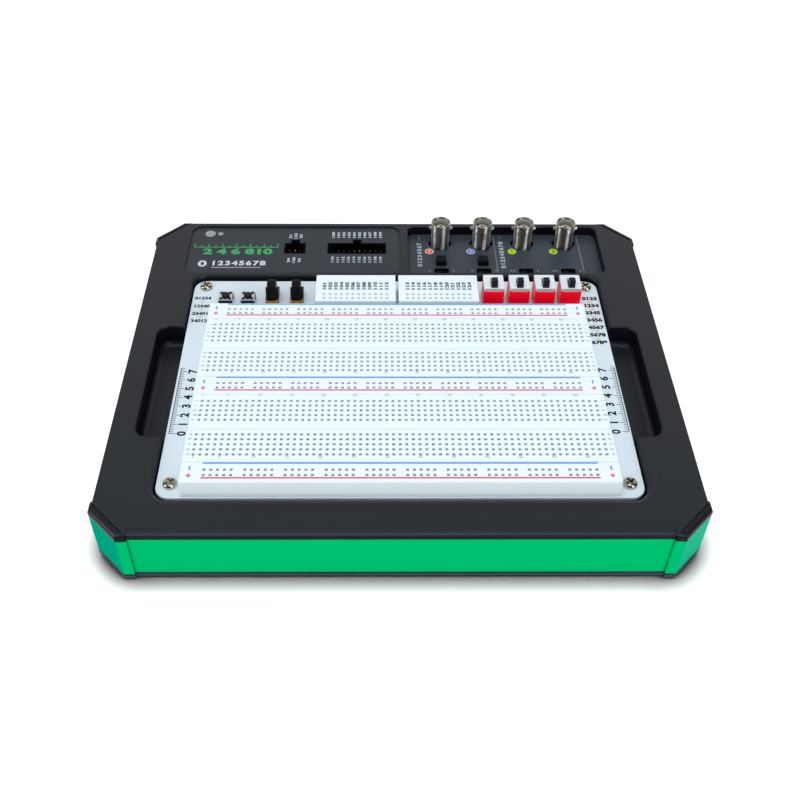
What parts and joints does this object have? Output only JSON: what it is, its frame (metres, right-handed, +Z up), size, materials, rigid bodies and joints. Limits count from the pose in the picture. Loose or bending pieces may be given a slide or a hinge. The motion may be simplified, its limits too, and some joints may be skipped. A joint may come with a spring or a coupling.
{
  "type": "portable electronics lab kit",
  "caption": "Flat case with a lift-out white circuit board carrying a solderless breadboard, buttons, dials and slide switches, with coaxial jacks and box headers at the back.",
  "frame": {"origin": "on the table that the rubber feet stand on, under the middle of the case", "axes": "+X along the front to the right as the user sees it, +Y from the front to the jacks at the back, +Z up"},
  "size_m": [0.2318, 0.189, 0.0409],
  "materials": {
    "cover_plastic": "fine-textured moulding, satin",
    "base_plastic": "moulded, satin",
    "band_green": "moulded, satin",
    "post_green": "moulded, satin",
    "foot_rubber": "moulded",
    "screw_steel": "zinc plated",
    "board_green": "solder mask",
    "jack_metal": "nickel plated",
    "jack_insulator": "moulded",
    "gold_contact": "gold plated",
    "header_black": "moulded",
    "jumper_black": "moulded",
    "selector_black": "moulded",
    "window_lens": "clear moulding, frosted",
    "chip_black": "moulded",
    "can_metal": "tinned sheet",
    "capacitor_sleeve": "heat-shrunk sleeve",
    "link_black": "moulded",
    "port_metal": "tinned sheet",
    "port_white": "moulded",
    "port_black": "moulded",
    "switch_black": "moulded",
    "canvas_white": "white solder mask, satin",
    "breadboard_white": "moulded",
    "spring_metal": "nickel-plated spring strip",
    "socket_white": "moulded",
    "button_black": "moulded",
    "button_metal": "pressed sheet",
    "dial_brown": "moulded",
    "dial_black": "knurled moulding",
    "switch_red": "moulded",
    "switch_white": "moulded",
    "lever_black": "moulded",
    "light_lens": "clear resin"
  },
  "bodies": {
    "case": {"top_cover": "cover_plastic", "bottom_cover": "base_plastic", "front_panel": "band_green", "rear_panel": "band_green", "side_panels": "band_green", "corner_posts": "post_green", "rubber_feet": "foot_rubber", "case_screws": "screw_steel", "main_board": "board_green", "board_screws": "screw_steel", "jack_shells": "jack_metal", "jack_insulators": "jack_insulator", "jack_contacts": "gold_contact", "wide_header": "header_black", "small_header": "header_black", "header_pins": "gold_contact", "coupling_headers": "header_black", "selector_bodies": "selector_black", "light_windows": "window_lens", "processor_chip": "chip_black", "shield_can": "can_metal", "power_capacitors": "capacitor_sleeve", "link_plugs": "link_black", "usb_shell": "port_metal", "usb_tongue": "port_white", "power_inlet": "port_black", "audio_socket": "port_black", "power_switch_body": "switch_black"},
    "canvas": {"canvas_board": "canvas_white", "link_sockets": "link_black", "terminal_strip_front": "breadboard_white", "terminal_strip_rear": "breadboard_white", "supply_rail_front": "breadboard_white", "supply_rail_middle": "breadboard_white", "supply_rail_rear": "breadboard_white", "spring_clips": "spring_metal", "pin_socket_left": "socket_white", "pin_socket_right": "socket_white", "button_bases": "button_black", "button_covers": "button_metal", "dial_bases": "dial_brown", "switch_bodies": "switch_red", "switch_covers": "switch_white", "canvas_screws": "screw_steel", "canvas_lights": "light_lens"},
    "rocker": {"power_rocker": "switch_black"},
    "button_1": {"button_cap_1": "button_black"},
    "button_2": {"button_cap_2": "button_black"},
    "thumb_dial_1": {"dial_1": "dial_black"},
    "thumb_dial_2": {"dial_2": "dial_black"},
    "lever_1": {"switch_lever_1": "lever_black"},
    "lever_2": {"switch_lever_2": "lever_black"},
    "lever_3": {"switch_lever_3": "lever_black"},
    "lever_4": {"switch_lever_4": "lever_black"},
    "selector_1": {"selector_slider_1": "selector_black"},
    "selector_2": {"selector_slider_2": "selector_black"},
    "selector_3": {"selector_slider_3": "selector_black"},
    "selector_4": {"selector_slider_4": "selector_black"},
    "jumper_1": {"coupling_jumper_1": "jumper_black"},
    "jumper_2": {"coupling_jumper_2": "jumper_black"}
  },
  "joints": [
    {"name": "canvas_lift", "type": "slide", "parent": "case", "child": "canvas", "axis": [0, 0, 1], "range_m": [0, 0.03]},
    {"name": "power_rocker_tilt", "type": "hinge", "parent": "case", "child": "rocker", "pos_m": [-0.067, 0.0905, 0.0126], "axis": [0, 0, 1], "range_deg": [-14, 0]},
    {"name": "button_1_press", "type": "slide", "parent": "canvas", "child": "button_1", "axis": [0, 0, -1], "range_m": [0, 0.0003], "stiffness_N_per_m": 400},
    {"name": "button_2_press", "type": "slide", "parent": "canvas", "child": "button_2", "axis": [0, 0, -1], "range_m": [0, 0.0003], "stiffness_N_per_m": 400},
    {"name": "dial_1_turn", "type": "hinge", "parent": "canvas", "child": "thumb_dial_1", "pos_m": [-0.0563, 0.0385, 0.0313], "axis": [1, 0, 0], "range_deg": [-135, 135]},
    {"name": "dial_2_turn", "type": "hinge", "parent": "canvas", "child": "thumb_dial_2", "pos_m": [-0.0452, 0.0385, 0.0313], "axis": [1, 0, 0], "range_deg": [-135, 135]},
    {"name": "switch_slide_1", "type": "slide", "parent": "canvas", "child": "lever_1", "axis": [0, 1, 0], "range_m": [0, 0.0042]},
    {"name": "switch_slide_2", "type": "slide", "parent": "canvas", "child": "lever_2", "axis": [0, 1, 0], "range_m": [0, 0.0042]},
    {"name": "switch_slide_3", "type": "slide", "parent": "canvas", "child": "lever_3", "axis": [0, 1, 0], "range_m": [0, 0.0042]},
    {"name": "switch_slide_4", "type": "slide", "parent": "canvas", "child": "lever_4", "axis": [0, 1, 0], "range_m": [0, 0.0042]},
    {"name": "selector_slide_1", "type": "slide", "parent": "case", "child": "selector_1", "axis": [1, 0, 0], "range_m": [0, 0.002]},
    {"name": "selector_slide_2", "type": "slide", "parent": "case", "child": "selector_2", "axis": [1, 0, 0], "range_m": [0, 0.002]},
    {"name": "selector_slide_3", "type": "slide", "parent": "case", "child": "selector_3", "axis": [1, 0, 0], "range_m": [0, 0.002]},
    {"name": "selector_slide_4", "type": "slide", "parent": "case", "child": "selector_4", "axis": [1, 0, 0], "range_m": [0, 0.002]},
    {"name": "jumper_lift_1", "type": "slide", "parent": "case", "child": "jumper_1", "axis": [0, 0, 1], "range_m": [0, 0.006]},
    {"name": "jumper_lift_2", "type": "slide", "parent": "case", "child": "jumper_2", "axis": [0, 0, 1], "range_m": [0, 0.006]}
  ]
}
